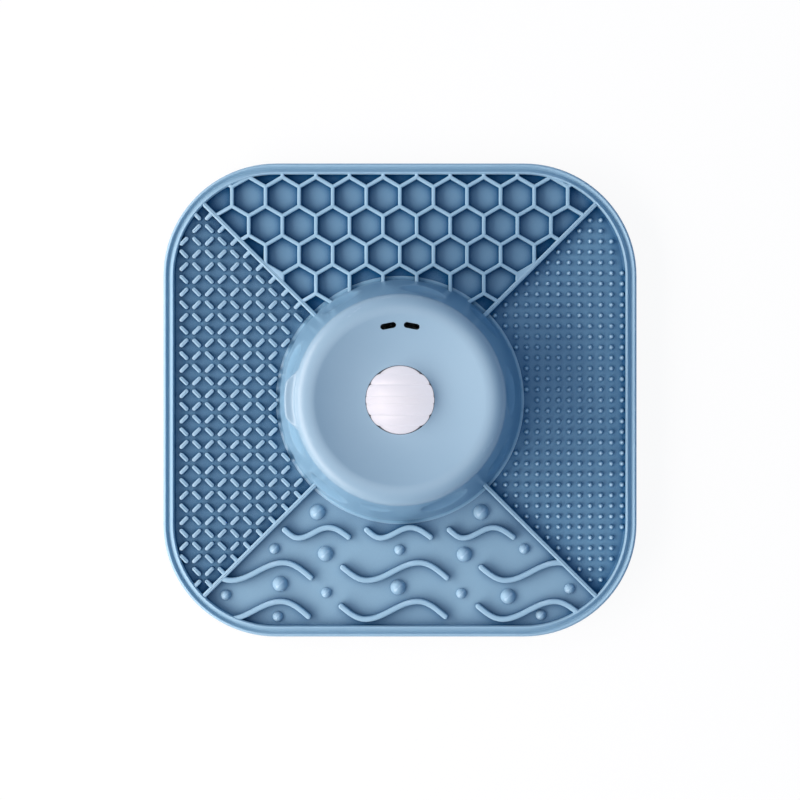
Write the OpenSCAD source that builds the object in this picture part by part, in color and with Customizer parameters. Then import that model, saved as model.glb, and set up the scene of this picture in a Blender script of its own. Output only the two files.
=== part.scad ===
/* [Mat] */
// Side of the square mat
mat_w = 200; // [190:1:230]
// Radius of the mat's outer corners
mat_corner_r = 47.6; // [40:0.2:50]
// Thickness of the mat's floor
floor_t = 2.6; // [2.4:0.1:4]
// Height of the mat's underside above the table
foot_h = 6; // [5.6:0.1:8]
// Width of the double-ridged rim
rim_w = 4.6; // [3.8:0.1:6]
// Height of the rim's outer ridge above the floor
rim_outer_h = 3.7; // [3:0.1:6]
// Height of the rim's inner ridge above the floor
rim_inner_h = 4; // [3:0.1:6]
// Depth of the round groove between the two ridges
rim_groove_depth = 1.2; // [0.6:0.1:2]
// Width of each diagonal divider
divider_w = 1.9; // [1.4:0.1:3]
// Height of the dividers above the floor
divider_h = 3.7; // [3:0.1:6]

/* [Textures] */
// Height of the honeycomb walls, dashes and waves above the floor
texture_h = 3.6; // [2.5:0.1:5]
// Distance between the centres of two honeycomb cells
cell_pitch = 14.2; // [12:0.1:18]
// Thickness of the honeycomb's walls
cell_wall = 1.6; // [1.2:0.1:2.4]
// Distance between the centres of two dashes
dash_pitch = 5.37; // [5:0.01:7]
// Length of a dash
dash_len = 4.7; // [3.5:0.1:5]
// Width of a dash
dash_w = 1.7; // [1.2:0.1:2.2]
// Distance between the centres of two dots
dot_pitch = 4.48; // [4:0.01:6]
// Diameter of a dot at the floor
dot_base_d = 2.4; // [1.8:0.1:3]
// Diameter of a dot at its tip
dot_tip_d = 1.3; // [0.8:0.1:1.7]
// Height of a dot
dot_h = 2; // [1:0.1:3]
// Width of a wave rib
wave_w = 2.3; // [1.8:0.1:3]
// Length of a short wave
short_wave_len = 27; // [20:0.5:32]
// Rise of a short wave from trough to crest
short_wave_rise = 4.4; // [3:0.1:6]
// Length of a long wave
long_wave_len = 44; // [36:0.5:50]
// Rise of a long wave from trough to crest
long_wave_rise = 7.5; // [5:0.1:9]
// Diameter of a large dome
big_dome_d = 6.5; // [5:0.1:8]
// Height of a large dome
big_dome_h = 2.8; // [2:0.1:3.2]
// Diameter of a small dome
small_dome_d = 4.4; // [3:0.1:5]
// Height of a small dome
small_dome_h = 2; // [1.2:0.1:2.2]

/* [Hub] */
// Radius of the hub's wall where it meets the floor
hub_foot_r = 51.5; // [50.5:0.1:54]
// Radius of the hub's wall at its top
hub_top_r = 43.2; // [42:0.1:45]
// Height of the hub's wall above the floor
hub_h = 32.6; // [31:0.1:40]
// Thickness of the hub's wall
hub_wall_t = 2.4; // [2.2:0.1:2.6]
// How far the hub's foot stands out past its wall
foot_flare = 1.1; // [0.6:0.1:1.8]
// Height of the concave curve that blends the foot into the wall
foot_flare_h = 2.4; // [1.5:0.1:4]
// Width of the widest crater in the hub's wall
crater_w = 21; // [15:0.5:23]
// Height of the widest crater
crater_tall = 17.5; // [12:0.5:20]
// Thickness of the spigot that passes down through the mat
spigot_t = 2; // [1.6:0.1:2.4]
// Thickness of the base plate's flange under the mat
base_t = 2; // [1.6:0.1:2.4]
// How far the base plate's flange reaches under the mat's floor
base_grip = 4.4; // [3:0.1:6]
// Thickness of the base plate's upstanding snap ring
base_ring_t = 1.8; // [1.4:0.1:2.4]
// How far the snap bead stands out of the ring
bead_d = 0.5; // [0.3:0.05:0.7]

/* [Reservoir] */
// Thickness of the reservoir cup's wall and floor
cup_wall = 1.5; // [1.2:0.1:2]
// Radial gap between the cup and the hub's mouth
cup_gap = 0.4; // [0.3:0.05:0.8]
// Width of the ledge in the hub's mouth that carries the cup
ledge_w = 1.5; // [1.2:0.1:1.6]
// Thickness of the cup's flange
cup_flange_t = 1.4; // [1.2:0.1:1.8]
// Height of the cup's outer floor above the base plate's flange
cup_floor_gap = 4.8; // [4.5:0.1:7]
// Radius of the curve between the cup's wall and floor
cup_corner_r = 7; // [4:0.5:10]
// How much the cup narrows towards its floor
cup_draft = 0.9; // [0.4:0.1:2]

/* [Lid] */
// Radius of the lid's outer edge
lid_r = 43.4; // [42.4:0.1:45]
// Height of the upright edge under the lid's round shoulder
lid_edge_h = 0.9; // [0.6:0.1:1.4]
// Width of the round shoulder
shoulder_w = 6.4; // [6:0.1:8]
// Height of the shoulder's crest above the lid's seat
shoulder_h = 5.2; // [4.8:0.1:6]
// Radius of the shallow dish's hollow
dish_r = 120; // [110:5:200]
// Thickness of the lid's shell
lid_t = 2.2; // [1.8:0.1:2.6]
// Depth of the skirt that plugs into the cup
skirt_h = 6.4; // [5.5:0.1:8]
// Thickness of the plug skirt
skirt_t = 2.5; // [2.3:0.1:3]
// How far the pull tab stands out past the lid's edge
tab_reach = 3.9; // [3.5:0.1:6]
// Width of the pull tab at its tip
tab_tip_w = 12.3; // [10:0.1:16]
// Width of the pull tab at its root
tab_root_w = 27; // [22:0.2:30]
// Thickness of the pull tab
tab_t = 1.7; // [1.3:0.1:2.4]
// Length of an air slot
slot_len = 6.5; // [5:0.1:7]
// Width of an air slot
slot_w = 2.4; // [1.6:0.1:3]
// Distance of the air slots from the hub's axis
slot_offset = 30.2; // [27:0.1:32]
// Distance between the centres of the two air slots
slot_spacing = 9.6; // [8:0.1:12]
// Slope of each air slot
slot_slope = 10.8; // [0:0.2:20]

/* [Seal] */
// Height of the seal ring's section
seal_h = 2.4; // [2:0.1:3]
// Depth of the groove that holds the seal
seal_groove = 1; // [0.8:0.1:1.2]

/* [Ball] */
// Diameter of the roller ball
ball_d = 30.4; // [28:0.2:32]
// Radial gap between the ball and its socket
ball_gap = 0.3; // [0.2:0.05:0.5]
// Radius of the round opening that the ball looks through
opening_r = 14.3; // [13.6:0.1:14.6]
// Height of the opening's upright edge
opening_land = 0.3; // [0.2:0.05:0.6]
// Width of a groove round the ball
groove_w = 2; // [1.4:0.1:2.6]
// Depth of a groove round the ball
groove_depth = 0.8; // [0.5:0.05:1]
// Wall thickness of the hollow ball
ball_wall = 2.6; // [2.4:0.1:4]

/* [Cage] */
// Thickness of the collar round the ball
collar_t = 2.5; // [2:0.1:3]
// How far the collar reaches below the ball's middle
collar_drop = 4; // [3:0.1:5]
// Thickness of the cage's ring and cradle
cage_t = 1.8; // [1.6:0.1:2.4]
// Height of the cage's ring above the ball's middle
cage_rise = 2.2; // [1.8:0.1:2.6]
// Width of a bayonet lug on the collar
lug_w = 5; // [4:0.1:6]
// Height of a bayonet lug
lug_h = 1.6; // [1.2:0.1:2]
// How far a bayonet lug stands out of the collar
lug_d = 1.5; // [1.2:0.1:1.8]
// Angle that the cage turns to unlock
cage_turn = 25; // [20:1:35]
// Diameter of the holes that let the filling reach the ball
window_d = 8; // [5:0.2:9]
// Windows in the row round the cradle
window_count = 6; // [4:1:8]
// Angle of that row, measured down from the top of the ball
window_angle = 132; // [126:1:136]

/* [Suction cups] */
// Radius of a corner suction cup
corner_cup_r = 15; // [12:0.2:18]
// Radius of the central suction cup
centre_cup_r = 24; // [20:0.5:28]
// Distance of the corner suction cups' middles from the mat's edges
corner_cup_inset = 36; // [32:0.5:38]
// Thickness of a suction cup's lip
lip_t = 0.6; // [0.5:0.05:1]
// Thickness of a suction cup at its middle
cup_crown_t = 1.4; // [1.2:0.1:1.6]
// Radius of a suction cup's stem
stem_r = 2.8; // [2.4:0.1:3.4]
// How far the stem's head stands out past the stem
stem_barb = 1.4; // [1:0.1:1.8]
// Length of the stem below its head
stem_len = 1.9; // [1.6:0.1:2]
// Height of the stem's head
stem_head_h = 2; // [1.6:0.1:2]
// Wall of the moulded socket round a stem's head
socket_wall = 2.6; // [2:0.1:3.4]
// Depth of the corner sockets below the mat's underside
socket_drop = 2.6; // [2.4:0.1:2.8]

/* [Fits] */
// Radial clearance of pieces that plug together
fit = 0.1; // [0.05:0.05:0.15]
// Gap between flat seats that come apart
seat_gap = 0.05; // [0.02:0.01:0.1]
// Gap between pieces that turn past each other
turn_gap = 0.3; // [0.25:0.05:0.4]

/* [Hidden] */

// How far a cut runs past the face it opens, and a raised shape sinks into what carries it
overrun = 0.5;
// Segments of a full turn
$fn = 72;
// Segments of a full turn on the small dots and on the domes
dot_fn = 14;
dome_fn = 20;
// Points along one bend of a drawn curve
bend_steps = 5;

// Heights above the table
floor_top = foot_h + floor_t;
hub_top = floor_top + hub_h;
lid_seat = hub_top + seat_gap;
lid_crest = lid_seat + shoulder_h;

// The hub's wall leans in evenly from foot to top
function hub_r(h) = hub_foot_r - (hub_foot_r - hub_top_r) * h / hub_h;
hub_lean = atan((hub_foot_r - hub_top_r) / hub_h);
foot_r = hub_foot_r + foot_flare;
foot_edge_h = foot_flare / 2;

// The mat's floor is held between the hub's foot and the base plate
mat_hole_r = hub_foot_r - foot_flare;
spigot_r = mat_hole_r - fit;
spigot_bore_r = spigot_r - spigot_t;

// Mouth of the hub and the cup that hangs in it
mouth_r = hub_top_r - hub_wall_t;
ledge_r = mouth_r + ledge_w;
cup_r = mouth_r - cup_gap;
cup_inner_r = cup_r - cup_wall;
cup_bottom = foot_h + cup_floor_gap;
flange_bottom = hub_top - cup_flange_t;
// The cup's wall narrows evenly from its mouth to where its floor curve starts
function cup_inner_at(z) = cup_inner_r - cup_draft * (hub_top - z) / (hub_top - cup_bottom - cup_corner_r);

// Dish of the lid, from the shoulder's crest down to the ball's opening
// The shoulder's curve runs over its crest by this angle before the dish takes over
crest_turn = 24;
crest_r = lid_r - shoulder_w;
shoulder_rise = shoulder_h - lid_edge_h;
dish_edge = [crest_r - shoulder_w * sin(crest_turn), lid_crest - shoulder_rise * (1 - cos(crest_turn))];
function dish_z(r) = dish_edge[1] + sqrt(dish_r * dish_r - dish_edge[0] * dish_edge[0]) - sqrt(dish_r * dish_r - r * r);
lip_top = dish_z(opening_r);
skirt_r = cup_inner_r - 5 * fit;

// Ball and the socket that holds it down
ball_r = ball_d / 2;
socket_r = ball_r + ball_gap;
ball_z = lip_top - opening_land - sqrt(socket_r * socket_r - opening_r * opening_r);
collar_r = socket_r + collar_t;
collar_bottom = ball_z - collar_drop;
cage_bore_r = collar_r + turn_gap;
cage_r = cage_bore_r + lug_d + cage_t / 2;
cage_top = ball_z + cage_rise;
lug_z = ball_z - collar_drop / 2;
lug_count = 3;

// The six grooves of the ball, as angles from its middle
groove_angles = [6, 25.5, 47];

// Rim section: where the crests and the groove lie across its width
rim_x_shares = [0, 0.2, 0.47, 0.87, 1];
// Height shares at which the outer and inner faces of the rim start to round over
rim_round_share = 0.78;
// The textures and dividers run in under the rim's inner crest, this far from the mat's edge
texture_inset = rim_w * rim_x_shares[3];

// Two kinds of wave, as shares of length and rise: start, trough, crest, end
short_wave_shares = [[0, 0.78], [0.216, 0], [0.69, 1], [1, 0.08]];
long_wave_shares = [[0, 0.73], [0.232, 0], [0.738, 1], [1, 0.15]];
// Places on the front quarter: across as shares of half the mat's width from its middle,
// and down as shares of the way from the hub's foot to the mat's edge.
// Waves: where they start and their troughs lie
short_wave_places_shares = [[-0.488, 0.1416], [-0.1405, 0.1416], [0.209, 0.1416]];
long_wave_places_shares = [[-0.817, 0.5113], [-0.242, 0.5113], [0.344, 0.5113],
  [-0.827, 0.8495], [-0.2485, 0.8495], [0.331, 0.8495]];
// Centres of the domes
big_dome_shares = [[-0.35, -0.0804], [-0.316, 0.2825], [-0.508, 0.5464], [-0.008, 0.5753],
  [0.344, -0.0804], [0.273, 0.2887], [0.459, 0.6557]];
small_dome_shares = [[-0.532, 0.2392], [-0.738, 0.6433], [-0.518, 0.8309], [-0.312, 0.6227], [-0.002, 0.2474],
  [0.527, 0.2392], [0.26, 0.6289], [0.719, 0.5876], [0.597, 0.8165]];
function front_place(s) = [s[0] * mat_w / 2, -hub_foot_r - s[1] * (mat_w / 2 - hub_foot_r)];

// Craters round the hub: angle clockwise from the back, share of the wall's height, share of the widest
crater_shares = [[11.5, 0.6, 0.94], [47.5, 0.36, 0.8], [85, 0.66, 0.97], [120.5, 0.38, 0.84],
  [156.6, 0.6, 1], [192.9, 0.68, 0.6], [219.3, 0.38, 0.94], [251.4, 0.66, 0.88],
  [288.8, 0.48, 0.9], [328.8, 0.36, 0.87]];

function arc(c, r, a0, a1, n) = [for (i = [0:n]) c + r * [cos(a0 + (a1 - a0) * i / n), sin(a0 + (a1 - a0) * i / n)]];
function ease(t) = (1 - cos(180 * t)) / 2;

// Outline of a flat capsule, or of one end of a rib
function capsule(len, w, n = 3) = concat(
  arc([(len - w) / 2, 0], w / 2, -90, 90, n), arc([(w - len) / 2, 0], w / 2, 90, 270, n));

module rounded_square(w, r) {
  square([w - 2 * r, w], center = true);
  square([w, w - 2 * r], center = true);
  for (x = [-1, 1], y = [-1, 1])
    translate([x, y] * (w / 2 - r)) circle(r);
}

// Mat: rim, dividers and the four textures, moulded in one

// Height of the rim above the floor at a share x of its width
function rim_h(x) =
  let (s = rim_x_shares, low = min(rim_outer_h, rim_inner_h) - rim_groove_depth)
  x <= s[1] ? rim_outer_h * (rim_round_share + (1 - rim_round_share) * sin(90 * x / s[1]))
  : x <= s[2] ? rim_outer_h - (rim_outer_h - low) * ease((x - s[1]) / (s[2] - s[1]))
  : x <= s[3] ? low + (rim_inner_h - low) * ease((x - s[2]) / (s[3] - s[2]))
  : rim_inner_h * (rim_round_share + (1 - rim_round_share) * cos(90 * (x - s[3]) / (1 - s[3])));

// Section of the rim, measured outwards from the inner face
function rim_section() = concat([[0, 0], [rim_w, 0]],
  [for (k = [0:3], i = [k == 0 ? 0 : 1:bend_steps])
    let (x = rim_x_shares[k] + (rim_x_shares[k + 1] - rim_x_shares[k]) * i / bend_steps)
    [rim_w * (1 - x), floor_t + rim_h(x)]]);

module rim() {
  inner_corner_r = mat_corner_r - rim_w;
  straight = mat_w - 2 * mat_corner_r;
  for (a = [0:90:270]) rotate(a) {
    translate([mat_w / 2 - rim_w, straight / 2, 0]) rotate([90, 0, 0])
      linear_extrude(straight) polygon(rim_section());
    translate([straight / 2, straight / 2, 0]) rotate_extrude(angle = 90)
      translate([inner_corner_r, 0]) polygon(rim_section());
  }
}

// Is a point inside the rim by at least this margin?
function inside_rim(p, margin) =
  let (half = mat_w / 2 - rim_w - margin, r = mat_corner_r - rim_w - margin,
    x = abs(p[0]) - (half - r), y = abs(p[1]) - (half - r))
  max(x, y) <= r && (x < 0 || y < 0 || norm([x, y]) <= r);

module raised(h) {
  translate([0, 0, floor_t - overrun]) linear_extrude(h + overrun) children();
}

module dividers() {
  reach = (mat_w / 2 - mat_corner_r) * sqrt(2) + mat_corner_r - texture_inset;
  for (a = [45:90:315])
    rotate(a) raised(divider_h) translate([mat_hole_r, -divider_w / 2])
      square([reach - mat_hole_r, divider_w]);
}

// The quarter of the mat between two dividers, up to the rim's inner crest
module quarter(angle) {
  half = mat_w / 2;
  intersection() {
    rotate(angle) polygon([[0, 0], [half, -half], [half, half]]);
    rounded_square(mat_w - 2 * texture_inset, mat_corner_r - texture_inset);
  }
}

module honeycomb() {
  row_pitch = cell_pitch * sqrt(3) / 2;
  cell_r = (cell_pitch - cell_wall) / sqrt(3);
  first_row = floor(mat_hole_r / sqrt(2) / row_pitch);
  last_row = ceil((mat_w / 2 - rim_w) / row_pitch);
  raised(texture_h) difference() {
    quarter(90);
    circle(mat_hole_r);
    for (j = [first_row:last_row]) {
      columns = ceil(j * row_pitch / cell_pitch);
      for (i = [-columns:columns]) {
        p = [(i + (j % 2) / 2) * cell_pitch, j * row_pitch];
        // A cell that a divider leaves open by less than half a wall stays solid
        if (cell_r * cos(15) - (abs(p[0]) - p[1]) / sqrt(2) - divider_w / 2 > cell_wall / 2)
          translate(p) rotate(30) circle(cell_r, $fn = 6);
      }
    }
  }
}

module dashes() {
  reach = (dash_len + dash_w) / 4;
  last = floor((mat_w / 2 - rim_w) / dash_pitch);
  raised(texture_h) intersection() {
    quarter(180);
    union() for (c = [1:last], j = [-last:last - 1]) {
      p = [-c * dash_pitch, (j + 0.5) * dash_pitch];
      if (norm(p) > foot_r + reach / 2 && abs(p[1]) < -p[0] && inside_rim(p, 0))
        translate(p) rotate((c + j) % 2 == 0 ? -45 : 45) polygon(capsule(dash_len, dash_w));
    }
  }
}

module dots() {
  last = floor((mat_w / 2 - rim_w) / dot_pitch);
  edge = dot_base_d / 2;
  widen = (dot_base_d - dot_tip_d) / 2 / dot_h * overrun;
  for (c = [1:last], j = [-last:last]) {
    p = [c, j] * dot_pitch;
    if (norm(p) > foot_r + edge && abs(p[1]) < p[0] - divider_w / sqrt(2) - edge && inside_rim(p, edge))
      translate([p[0], p[1], floor_t - overrun])
        cylinder(dot_h + overrun, edge + widen, dot_tip_d / 2, $fn = dot_fn);
  }
}

// Middle line of a wave through its start, trough, crest and end
function wave_line(s, len, rise) = [for (k = [0:2], i = [k == 0 ? 0 : 1:bend_steps])
  let (t = i / bend_steps, a = s[k], b = s[k + 1],
    bend = k == 0 ? sin(90 * t) : k == 1 ? ease(t) : 1 - cos(90 * t))
  [len * (a[0] + (b[0] - a[0]) * t), rise * (a[1] + (b[1] - a[1]) * bend)]];

function along(line, i) =
  let (d = line[min(i + 1, len(line) - 1)] - line[max(i - 1, 0)]) d / norm(d);

// Outline of a rib of even width round a middle line, with round ends
function rib(line, w) =
  let (n = len(line) - 1, first = along(line, 0), last = along(line, n), r = w / 2,
    a0 = atan2(first[1], first[0]), a1 = atan2(last[1], last[0]))
  concat(
    [for (i = [0:n]) line[i] + r * [along(line, i)[1], -along(line, i)[0]]],
    [for (a = [-60:30:60]) line[n] + r * [cos(a1 + a), sin(a1 + a)]],
    [for (i = [n:-1:0]) line[i] - r * [along(line, i)[1], -along(line, i)[0]]],
    [for (a = [120:30:240]) line[0] + r * [cos(a0 + a), sin(a0 + a)]]);

module waves() {
  raised(texture_h) intersection() {
    quarter(270);
    union() {
      for (s = short_wave_places_shares) translate(front_place(s))
        polygon(rib(wave_line(short_wave_shares, short_wave_len, short_wave_rise), wave_w));
      for (s = long_wave_places_shares) translate(front_place(s))
        polygon(rib(wave_line(long_wave_shares, long_wave_len, long_wave_rise), wave_w));
    }
  }
}

// Shallow dome that stands on the floor
module dome(d, h) {
  r = (d * d / 4 + h * h) / (2 * h);
  translate([0, 0, floor_t]) intersection() {
    translate([0, 0, h - r]) sphere(r, $fn = dome_fn);
    translate([0, 0, -overrun]) cylinder(h + 2 * overrun, d = d, $fn = dome_fn);
  }
}

module domes() {
  for (s = big_dome_shares) translate(front_place(s)) dome(big_dome_d, big_dome_h);
  for (s = small_dome_shares) translate(front_place(s)) dome(small_dome_d, small_dome_h);
}

module each_corner() {
  for (x = [-1, 1], y = [-1, 1])
    translate([x, y, 0] * (mat_w / 2 - corner_cup_inset)) children();
}

// Room for a suction cup's stem and head, from the mouth of its socket upwards
module stem_pocket() {
  translate([0, 0, -overrun]) cylinder(stem_len + 2 * overrun, r = stem_r + fit);
  translate([0, 0, stem_len - fit]) cylinder(stem_head_h + 2 * fit, r = stem_r + stem_barb + fit);
}

// The hub's outer shape with a hair of room, which the textures run up to
module hub_room() {
  top = rim_inner_h + overrun;
  rotate_extrude() polygon([[0, 0], [foot_r + fit, 0], [foot_r + fit, foot_edge_h],
    [hub_r(foot_flare_h) + fit, foot_flare_h + foot_edge_h], [hub_r(top) + fit, top], [0, top]]);
}

module mat() {
  color("#8fb3cf") translate([0, 0, foot_h]) difference() {
    union() {
      linear_extrude(floor_t) rounded_square(mat_w - rim_w, mat_corner_r - rim_w / 2);
      rim();
      dividers();
      honeycomb();
      dashes();
      dots();
      waves();
      domes();
      each_corner() translate([0, 0, -socket_drop])
        cylinder(socket_drop + overrun, r = stem_r + stem_barb + socket_wall);
    }
    translate([0, 0, floor_t]) hub_room();
    translate([0, 0, -overrun]) cylinder(floor_t + 2 * overrun, r = mat_hole_r);
    each_corner() translate([0, 0, -socket_drop]) stem_pocket();
  }
}

// Hub

// Wide cylinder that scoops one shallow crater out of the leaning wall
module crater(angle, height_share, width_share) {
  h = hub_h * height_share;
  half_w = crater_w * width_share / 2;
  half_tall = crater_tall * width_share / 2;
  depth = half_w * half_w / (2 * hub_r(h));
  r = half_tall * half_tall / (2 * depth);
  rotate(-angle) translate([0, hub_r(h), floor_top + h]) rotate([hub_lean, 0, 0])
    translate([0, r - depth, 0]) rotate([0, 90, 0])
      cylinder(4 * half_w, r = r, center = true);
}

module hub_housing() {
  flare = arc([foot_r, foot_edge_h + foot_flare_h], 1, -90, -180, bend_steps);
  color("#86abc9") difference() {
    rotate_extrude() polygon(concat(
      [[spigot_bore_r, foot_h + seat_gap], [spigot_r, foot_h + seat_gap], [spigot_r, floor_top],
        [foot_r, floor_top]],
      [for (p = flare) [foot_r + (p[0] - foot_r) * (foot_r - hub_r(foot_edge_h + foot_flare_h)),
        floor_top + foot_edge_h + (p[1] - foot_edge_h - foot_flare_h + 1) * foot_flare_h]],
      [[hub_top_r, hub_top], [ledge_r, hub_top], [ledge_r, flange_bottom], [mouth_r, flange_bottom],
        [hub_r(foot_flare_h) - hub_wall_t, floor_top + foot_flare_h]]));
    for (c = crater_shares) crater(c[0], c[1], c[2]);
    bead_ring(fit);
  }
}

// Snap bead between the base plate's ring and the hub, or its groove with this much room
module bead_ring(room) {
  r = spigot_bore_r - fit;
  translate([0, 0, foot_h + floor_t * 0.7]) rotate_extrude()
    polygon([[r - bead_d, -bead_d - room], [r, -bead_d - room], [r + bead_d + room, -room],
      [r + bead_d + room, room], [r, bead_d + room], [r - bead_d, bead_d + room]]);
}

module hub_base() {
  plate_bottom = foot_h - base_t;
  ring_r = spigot_bore_r - fit;
  boss_r = stem_r + stem_barb + socket_wall;
  boss_h = stem_len + stem_head_h + socket_wall / 2;
  color("#7ea3c2") difference() {
    union() {
      translate([0, 0, plate_bottom]) cylinder(base_t, r = mat_hole_r + base_grip);
      translate([0, 0, foot_h - overrun]) difference() {
        cylinder(floor_t + overrun, r = ring_r);
        translate([0, 0, -overrun]) cylinder(floor_t + 3 * overrun, r = ring_r - base_ring_t);
      }
      bead_ring(0);
      translate([0, 0, plate_bottom]) cylinder(boss_h, r = boss_r);
      for (a = [0:60:300]) rotate(a) translate([boss_r - overrun, -base_ring_t / 2, foot_h - overrun])
        cube([ring_r - base_ring_t - boss_r + 2 * overrun, base_ring_t, base_t + overrun]);
    }
    translate([0, 0, plate_bottom]) stem_pocket();
  }
}

// Suction cup: a thin bell with a barbed stem that plugs into its socket
module suction_cup(r, h) {
  crown_r = stem_r + stem_barb + socket_wall;
  head_r = stem_r + stem_barb;
  top = h + stem_len;
  color("#9dbdd6") rotate_extrude() polygon([[0, h - cup_crown_t], [r - 1.6 * lip_t, 0], [r, 0],
    [r, lip_t], [crown_r, h], [stem_r, h], [stem_r, top], [head_r, top],
    [head_r, top + stem_head_h / 3], [stem_r - fit, top + stem_head_h - fit], [0, top + stem_head_h - fit]]);
}

module corner_suction_cup(x, y) {
  translate([x, y, 0] * (mat_w / 2 - corner_cup_inset)) suction_cup(corner_cup_r, foot_h - socket_drop);
}

// Reservoir

module reservoir_cup() {
  r_low = cup_r - cup_draft;
  corner_out = arc([r_low - cup_corner_r, cup_bottom + cup_corner_r], cup_corner_r, -90, 0, bend_steps);
  corner_in = arc([r_low - cup_corner_r, cup_bottom + cup_corner_r], cup_corner_r - cup_wall, 0, -90, bend_steps);
  color("#b9d0e2") rotate_extrude() polygon(concat([[0, cup_bottom]], corner_out,
    [[cup_r, flange_bottom + seat_gap], [ledge_r - cup_gap, flange_bottom + seat_gap],
      [ledge_r - cup_gap, hub_top], [cup_inner_r, hub_top]],
    corner_in, [[0, cup_bottom + cup_wall]]));
}

// Lid

module lid_section() {
  steps = 2 * bend_steps;
  shoulder = [for (i = [0:steps]) let (a = (90 + crest_turn) * i / steps)
    [crest_r + shoulder_w * cos(a), lid_seat + lid_edge_h + shoulder_rise * sin(a)]];
  dish = [for (i = [1:steps]) let (r = dish_edge[0] + (opening_r - dish_edge[0]) * i / steps) [r, dish_z(r)]];
  under = [for (i = [0:steps])
    let (r = collar_r - overrun + (dish_edge[0] - collar_r + overrun) * i / steps) [r, dish_z(r) - lid_t]];
  polygon(concat([[lid_r, lid_seat]], shoulder, dish, [[opening_r, ball_z]], under,
    [[skirt_r - skirt_t, lid_seat - overrun], [skirt_r - skirt_t, lid_seat - skirt_h],
      [skirt_r, lid_seat - skirt_h], [skirt_r, lid_seat]]));
}

// Outline of the pull tab, along +X from inside the lid's edge
function tab_outline() =
  let (round_r = 0.6 * tab_reach, tip = lid_r + tab_reach, root = lid_r - tab_reach / 2,
    flare = [for (i = [0:bend_steps]) let (t = i / bend_steps)
      [lid_r - tab_reach / 6 + (tip - round_r - lid_r + tab_reach / 6) * t,
        -tab_tip_w / 2 - (tab_root_w - tab_tip_w) / 2 * (1 - sin(90 * t))]],
    corner = arc([tip - round_r, round_r - tab_tip_w / 2], round_r, -90, 0, bend_steps),
    half = concat([[root, -tab_root_w / 2]], flare, [for (i = [1:bend_steps]) corner[i]]))
  concat(half, [for (i = [len(half) - 1:-1:0]) [half[i][0], -half[i][1]]]);

module lid() {
  color("#8db1cd") difference() {
    union() {
      rotate_extrude() lid_section();
      translate([0, 0, collar_bottom]) cylinder(lip_top - collar_bottom - lid_t / 2, r = collar_r);
      translate([0, 0, lid_seat]) rotate(180) linear_extrude(tab_t) polygon(tab_outline());
      for (i = [0:lug_count - 1]) rotate(360 * i / lug_count)
        translate([collar_r - overrun, -lug_w / 2, lug_z - lug_h / 2])
          cube([lug_d + overrun, lug_w, lug_h]);
    }
    translate([0, 0, ball_z]) sphere(socket_r);
    translate([0, 0, collar_bottom - overrun]) cylinder(ball_z - collar_bottom + overrun, r = socket_r);
    translate([0, 0, ball_z]) cylinder(lid_crest - ball_z, r = opening_r);
    for (s = [-1, 1])
      translate([s * slot_spacing / 2, slot_offset, lid_seat - overrun]) rotate(-s * slot_slope)
        linear_extrude(lid_crest - lid_seat + overrun) polygon(capsule(slot_len, slot_w, 2 * bend_steps));
    seal_room();
  }
}

// Groove round the plug skirt for the seal
module seal_room() {
  z = lid_seat - skirt_h / 2;
  translate([0, 0, z - seal_h / 2 - fit]) difference() {
    cylinder(seal_h + 2 * fit, r = skirt_r + overrun);
    translate([0, 0, -overrun]) cylinder(seal_h + 2 * fit + 2 * overrun, r = skirt_r - seal_groove);
  }
}

// Soft ring with a round outer lip, which presses on the inside of the cup
module lid_seal() {
  z = lid_seat - skirt_h / 2;
  root_r = skirt_r - seal_groove + fit;
  lip_r = cup_inner_at(z - seal_h / 2) - fit;
  color("#dfe8f0") translate([0, 0, z]) rotate_extrude()
    polygon(concat([[root_r, seal_h / 2], [root_r, -seal_h / 2], [skirt_r, -seal_h / 2]],
      [for (a = [-60:30:60]) [skirt_r + (lip_r - skirt_r) * cos(a), seal_h / 2 * sin(a)]],
      [[skirt_r, seal_h / 2]]));
}

// Ball cage: a cradle under the ball that locks round the collar with a short twist

module cage_slot() {
  half_angle = asin((lug_w / 2 + turn_gap) / cage_bore_r);
  reach = cage_r + overrun;
  z0 = lug_z - lug_h / 2 - turn_gap;
  tall = lug_h + 2 * turn_gap;
  // level run that the lug travels along
  translate([0, 0, z0]) rotate([0, 0, -half_angle])
    rotate_extrude(angle = cage_turn + half_angle)
      translate([cage_bore_r - turn_gap / 2, 0]) square([reach - cage_bore_r, tall]);
  // way in from the cage's top edge
  translate([0, 0, z0]) rotate(cage_turn - half_angle) rotate_extrude(angle = 2 * half_angle)
    translate([cage_bore_r - turn_gap / 2, 0]) square([reach - cage_bore_r, cage_top - z0 + overrun]);
}

// Section of the ring, its plate and the cradle under the ball, with the round drain hole at its lowest point
module cage_section() {
  shell_r = socket_r + cage_t;
  plate_top = collar_bottom - turn_gap;
  plate_bottom = plate_top - cage_t;
  difference() {
    union() {
      translate([0, plate_bottom]) square([cage_r, cage_top - plate_bottom]);
      intersection() {
        translate([0, ball_z]) circle(shell_r);
        translate([0, ball_z - shell_r]) square([shell_r, plate_top - ball_z + shell_r]);
      }
    }
    translate([0, plate_top]) square([cage_bore_r, cage_top - plate_top + overrun]);
    translate([0, ball_z]) circle(socket_r);
    translate([0, ball_z - shell_r - overrun]) square([window_d / 2, shell_r]);
  }
}

module ball_cage() {
  color("#eef2f6") difference() {
    rotate_extrude() cage_section();
    for (i = [0:window_count - 1]) rotate(360 * (i + 0.5) / window_count) translate([0, 0, ball_z])
      rotate([0, window_angle, 0]) cylinder(cage_r, d = window_d);
    for (i = [0:lug_count - 1]) rotate(360 * i / lug_count) cage_slot();
  }
}

// Ball: two hollow halves, grooved round the line from front to back

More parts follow.
